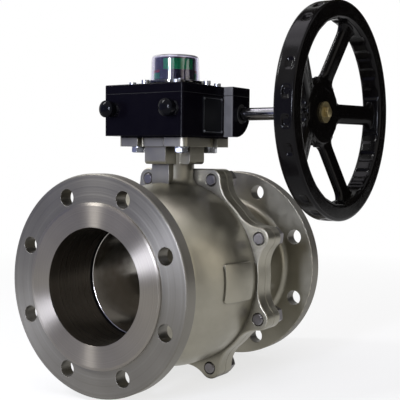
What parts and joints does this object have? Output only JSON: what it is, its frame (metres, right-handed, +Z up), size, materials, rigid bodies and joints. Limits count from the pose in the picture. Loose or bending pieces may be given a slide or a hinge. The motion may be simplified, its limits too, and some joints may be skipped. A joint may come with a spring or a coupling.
{
  "type": "gear operated ball valve",
  "caption": "Flanged two-piece ball valve with a bolted lobed body joint, turned a quarter turn by a worm gear with a spoked handwheel and a domed position indicator.",
  "frame": {"origin": "centre of the ball, on the axis of the waterway", "axes": "+X from the inlet flange to the outlet flange, +Z up the stem, handwheel towards -Y"},
  "size_m": [0.3685, 0.3846, 0.5155],
  "materials": {
    "cast_stainless": "satin cast stainless steel, machined on the flange faces",
    "polished_ball": "polished stainless steel",
    "bright_steel": "plain stainless steel",
    "ground_shaft_steel": "turned and ground steel",
    "ptfe": "plain white fluoropolymer",
    "filled_ptfe": "carbon filled fluoropolymer, near black",
    "graphite_gasket": "dark graphite sheet",
    "black_paint": "smooth glossy black paint over cast iron",
    "quadrant_iron": "machined ductile iron",
    "bronze": "bearing bronze",
    "seal_rubber": "black rubber",
    "black_plastic": "glossy black moulded plastic",
    "clear_plastic": "clear moulded polycarbonate",
    "green_plastic": "green plastic",
    "red_plastic": "red plastic",
    "plate_aluminium": "satin anodised sheet",
    "wheel_enamel": "glossy black enamel over cast iron",
    "washer_brass": "plain brass"
  },
  "bodies": {
    "valve": {"body_casting": "cast_stainless", "tailpiece": "cast_stainless", "body_gasket": "graphite_gasket", "joint_studs": "bright_steel", "joint_nuts": "bright_steel", "seat_ring_inlet": "filled_ptfe", "seat_ring_outlet": "filled_ptfe", "stem_thrust_washer": "ptfe", "stem_packing": "ptfe", "gland_follower": "bright_steel", "mounting_washers": "bright_steel", "mounting_bolts": "bright_steel", "gear_housing": "black_paint", "cover_gasket": "graphite_gasket", "gear_cover": "black_paint", "cover_screws": "bright_steel", "worm_bushes": "bronze", "shaft_seal": "seal_rubber", "end_cover": "black_paint", "end_cover_screws": "bright_steel", "stop_screws": "bright_steel", "stop_shoes": "bright_steel", "stop_lock_nuts": "bright_steel", "stop_caps": "black_plastic", "indicator_base": "black_plastic", "indicator_dome": "clear_plastic", "indicator_screws": "bright_steel", "nameplate": "plate_aluminium", "nameplate_pins": "bright_steel"},
    "ball_and_stem": {"ball": "polished_ball", "stem": "bright_steel", "disc_springs": "bright_steel", "stem_nut": "bright_steel", "drive_sleeve": "bright_steel", "worm_quadrant": "quadrant_iron", "indicator_shaft": "bright_steel", "indicator_drum": "black_plastic", "indicator_open_panels": "green_plastic", "indicator_shut_panels": "red_plastic"},
    "handwheel_set": {"worm_shaft": "ground_shaft_steel", "handwheel": "wheel_enamel", "handwheel_key": "bright_steel", "hub_washer": "washer_brass", "hub_screw": "bright_steel"}
  },
  "joints": [
    {"name": "handwheel_turn", "type": "hinge", "parent": "valve", "child": "handwheel_set", "pos_m": [0.05, 0, 0.2244], "axis": [0, 1, 0], "range_deg": [0, 2880]},
    {"name": "quarter_turn", "type": "hinge", "parent": "valve", "child": "ball_and_stem", "pos_m": [0, 0, 0], "axis": [0, 0, 1], "range_deg": [-90, 0]}
  ],
  "couplings": [
    {"joint": "quarter_turn", "follows": "handwheel_turn", "ratio": -0.03125}
  ]
}
